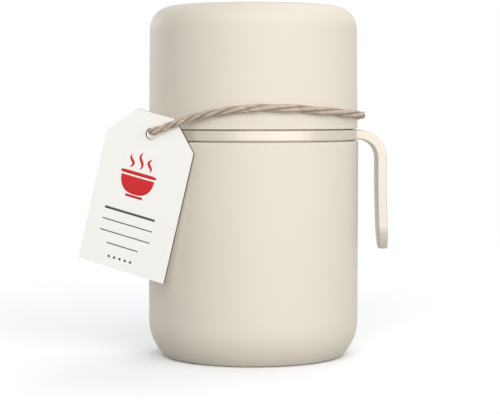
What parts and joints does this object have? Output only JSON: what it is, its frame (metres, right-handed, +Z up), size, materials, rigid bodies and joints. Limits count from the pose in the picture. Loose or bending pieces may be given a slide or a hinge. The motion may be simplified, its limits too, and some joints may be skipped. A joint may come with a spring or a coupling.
{
  "type": "insulated food jar",
  "caption": "Vacuum-insulated food jar with a screw cap, an inner screw stopper with a pressure valve, a strap handle at its band, and a card tag on twine.",
  "frame": {"origin": "centre of the face that the jar stands on, on the jar's axis", "axes": "+Z up along the jar's axis, +X towards the handle, -Y towards the front with the tag"},
  "size_m": [0.1366, 0.104, 0.1565],
  "materials": {
    "powder_coat": "matte",
    "steel": "satin",
    "band_steel": "satin",
    "copper": "satin",
    "getter_alloy": "matte",
    "foot_rubber": "matte",
    "liner_plastic": "matte",
    "stopper_plastic": "matte",
    "foam": "matte",
    "silicone": "satin",
    "button_plastic": "satin",
    "card": "matte",
    "jute": "matte"
  },
  "bodies": {
    "jar": {"outer_shell": "powder_coat", "base_plate": "steel", "vacuum_seal": "steel", "getter": "getter_alloy", "base_foot": "foot_rubber", "inner_liner": "steel", "copper_foil": "copper", "handle_band": "band_steel"},
    "tie": {"twine": "jute", "twine_knot": "jute"},
    "cap": {"cap_shell": "powder_coat", "cap_liner": "liner_plastic", "cap_foam": "foam", "cap_seal": "silicone"},
    "tag": {"hang_tag": "card"},
    "gasket": {"stopper_gasket": "silicone"},
    "stopper": {"stopper_body": "stopper_plastic", "stopper_foam": "foam", "stopper_cover": "stopper_plastic"},
    "valve": {"valve_button": "button_plastic", "valve_stem": "button_plastic", "valve_seal": "silicone", "valve_spring": "steel"}
  },
  "joints": [
    {"name": "cap_lift", "type": "slide", "parent": "jar", "child": "tie", "axis": [0, 0, 1], "range_m": [0, 0.05]},
    {"name": "cap_turn", "type": "hinge", "parent": "tie", "child": "cap", "pos_m": [0, 0, 0.1018], "axis": [0, 0, 1], "range_deg": [0, 1500]},
    {"name": "tag_swing", "type": "hinge", "parent": "tie", "child": "tag", "pos_m": [-0.04317, -0.03499, 0.1006], "axis": [-0.342, -0.9397, 0], "range_deg": [-20, 20]},
    {"name": "stopper_lift", "type": "slide", "parent": "jar", "child": "gasket", "axis": [0, 0, 1], "range_m": [0, 0.022]},
    {"name": "stopper_turn", "type": "hinge", "parent": "gasket", "child": "stopper", "pos_m": [0, 0, 0.0971], "axis": [0, 0, 1], "range_deg": [0, 660]},
    {"name": "valve_press", "type": "slide", "parent": "stopper", "child": "valve", "axis": [0, 0, -1], "range_m": [0, 0.0025], "stiffness_N_per_m": 400, "springref_m": -0.0005, "deforming": ["valve_spring"]}
  ],
  "couplings": [
    {"joint": "cap_lift", "follows": "cap_turn", "m_per_rad": 0.0019098},
    {"joint": "stopper_lift", "follows": "stopper_turn", "m_per_rad": 0.0019098}
  ]
}
